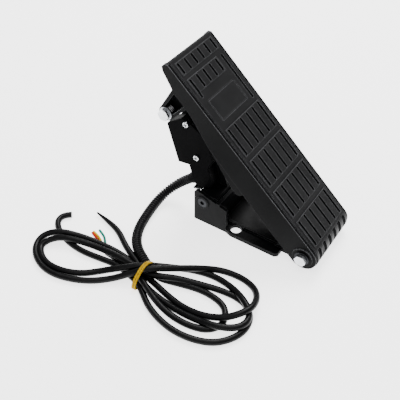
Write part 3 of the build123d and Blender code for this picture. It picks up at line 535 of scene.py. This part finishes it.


# The edge values paint lighter edges, partly real rubbing and partly painted highlight; the hollow distances paint
# shade into recesses and grooves.
FINISHES = {
    "base_plastic": moulded("base_plastic_look", (0.0022, 0.0023, 0.0026), 0.42, dust=0.012, specular=0.05, wear_and_highlight=0.35),
    "treadle_plastic": moulded("treadle_plastic_look", (0.0015, 0.0016, 0.0018), 0.42, dust=0.012, specular=0.045,
                               wear_and_highlight=0.85, wear_and_highlight_radius=0.0010),
    "tread_rubber": moulded("tread_rubber_look", (0.0048, 0.0049, 0.0054), 0.46, grain=0.0009,
                            grain_depth=0.00004, dust=0.025, specular=0.18, wear_and_highlight=0.60, wear_and_highlight_radius=0.0009,
                            recess_shade=0.0024),
    "sensor_plastic": moulded("sensor_plastic_look", (0.0020, 0.0020, 0.0022), 0.46, dust=0.006, specular=0.010,
                              wear_and_highlight=0.25),
    "bearing_plastic": moulded("bearing_plastic_look", (0.010, 0.010, 0.011), 0.38, dust=0.01, specular=0.3),
    "bumper_rubber": moulded("bumper_rubber_look", (0.008, 0.008, 0.008), 0.70, dust=0.05, specular=0.2),
    "seal_rubber": moulded("seal_rubber_look", (0.010, 0.010, 0.010), 0.70, dust=0.02, specular=0.2),
    "bright_zinc": metal("bright_zinc_look", (0.78, 0.80, 0.83), 0.27, spots=0.25),
    "steel": metal("steel_look", (0.52, 0.53, 0.55), 0.36, streak=(8.0, 1.0, 1.0), spots=0.3),
    "spring_steel": metal("spring_steel_look", (0.58, 0.58, 0.60), 0.30, spots=0.3),
    "black_steel": metal("black_steel_look", (0.028, 0.029, 0.032), 0.42, spots=0.4, spot_colour=(0.03, 0.03, 0.03)),
    "brass": metal("brass_look", (0.74, 0.55, 0.24), 0.30, streak=(1.0, 8.0, 8.0), spots=0.2),
    "magnet": metal("magnet_look", (0.40, 0.40, 0.42), 0.32, spots=0.2),
    "board": printed_board("board_look"),
    "chip": moulded("chip_look", (0.018, 0.018, 0.020), 0.55, grain=0.0003, grain_depth=0.00001, dust=0.0),
    "conduit_plastic": jacket("conduit_look", (0.0045, 0.0045, 0.0052), 0.32, gloss=0.15, recess_shade=0.0013),
    "cable_jacket": jacket("cable_look", (0.0011, 0.0011, 0.0014), 0.36, gloss=0.13),
    "band_yellow": elastic("band_look", (0.50, 0.32, 0.0), (0.34, 0.18, 0.0)),
}
for part in frame["record"]["subparts"]:
    target = nodes[part["node"]]
    look = FINISHES[part["material_slot"]]
    for index in range(len(target.data.materials)):
        target.material_slots[index].material = look


SHANK_START_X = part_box("pin_washer")[1].x


def bolt_with_painted_shade_shank(name):
    """Bright zinc head; beyond the washer the shank is painted near black as shade inside the lug."""
    g = Graph(name, metal(name, (0.78, 0.80, 0.83), 0.27, spots=0.25))
    along = g.add("ShaderNodeSeparateXYZ", {"Vector": g.place}).outputs["X"]
    shank = g.spread(along, SHANK_START_X, SHANK_START_X + 0.0004)
    bright = g.shader.inputs["Base Color"].links[0].from_socket
    # Painted shade: near black on the shank beyond the washer.
    g.link(g.blend(shank, bright, (0.012, 0.012, 0.013)), g.shader.inputs["Base Color"])
    return g.material


pin_bolt = nodes["lever_pin_bolt"]
for material_slot in pin_bolt.material_slots:
    material_slot.material = bolt_with_painted_shade_shank("pin_bolt_look")


def dress(obj, look):
    obj.data.materials.clear()
    obj.data.materials.append(look)


dress(conduit, FINISHES["conduit_plastic"])
dress(lead, FINISHES["cable_jacket"])
dress(cable, FINISHES["cable_jacket"])
for wire, colour in zip(wires, ((0.36, 0.01, 0.0), (0.60, 0.38, 0.0), (0.0, 0.17, 0.12))):
    dress(wire, jacket(wire.name + "_look", colour, 0.38))
for piece in bands:
    dress(piece, FINISHES["band_yellow"])
for name in ("heel_coil_left", "heel_coil_right", "lug_coil"):
    dress(bpy.data.objects[name], FINISHES["spring_steel"])

# ---------------------------------------------------------------- floor and light
floor_mesh = bpy.data.meshes.new("floor")
FLOOR_HALF = 6.0
FLOOR_GLOW = 2.4
floor_corners = [(x * FLOOR_HALF, y * FLOOR_HALF, 0) for x, y in ((-1, -1), (1, -1), (1, 1), (-1, 1))]
floor_mesh.from_pydata(floor_corners, [], [(0, 1, 2, 3)])
floor = bpy.data.objects.new("floor", floor_mesh)
bpy.context.scene.collection.objects.link(floor)
floor_look = Graph("floor_look")
floor_look.link(floor_look.blend(floor_look.noise(3.0), (0.93, 0.93, 0.93), (0.96, 0.96, 0.96)),
                floor_look.shader.inputs["Base Color"])
floor_look.shader.inputs["Roughness"].default_value = 0.9
floor_look.shader.inputs["Emission Color"].default_value = (1.0, 1.0, 1.0, 1.0)
floor_look.shader.inputs["Emission Strength"].default_value = FLOOR_GLOW
floor_look.shader.inputs["Specular IOR Level"].default_value = 0.1
dress(floor, floor_look.material)


def area_light(name, place, target, size, power):
    data = bpy.data.lights.new(name, "AREA")
    data.shape = "RECTANGLE"
    data.size, data.size_y = size
    data.energy = power
    obj = bpy.data.objects.new(name, data)
    obj.location = place
    obj.rotation_euler = (Vector(target) - Vector(place)).to_track_quat("-Z", "Y").to_euler()
    bpy.context.scene.collection.objects.link(obj)


MIDDLE = (-0.05, 0.0, 0.06)
area_light("key", (0.95, 0.35, 1.5), MIDDLE, (0.9, 0.9), 44.0)
area_light("top", (-0.2, -0.1, 1.8), MIDDLE, (1.2, 1.2), 16.0)
area_light("fill", (-1.3, -0.4, 0.8), MIDDLE, (1.2, 0.8), 3.5)
world = bpy.data.worlds.new("studio")
world.use_nodes = True
world.node_tree.nodes["Background"].inputs["Color"].default_value = (1.0, 1.0, 1.0, 1.0)
world.node_tree.nodes["Background"].inputs["Strength"].default_value = 0.55
bpy.context.scene.world = world

bpy.context.view_layer.update()
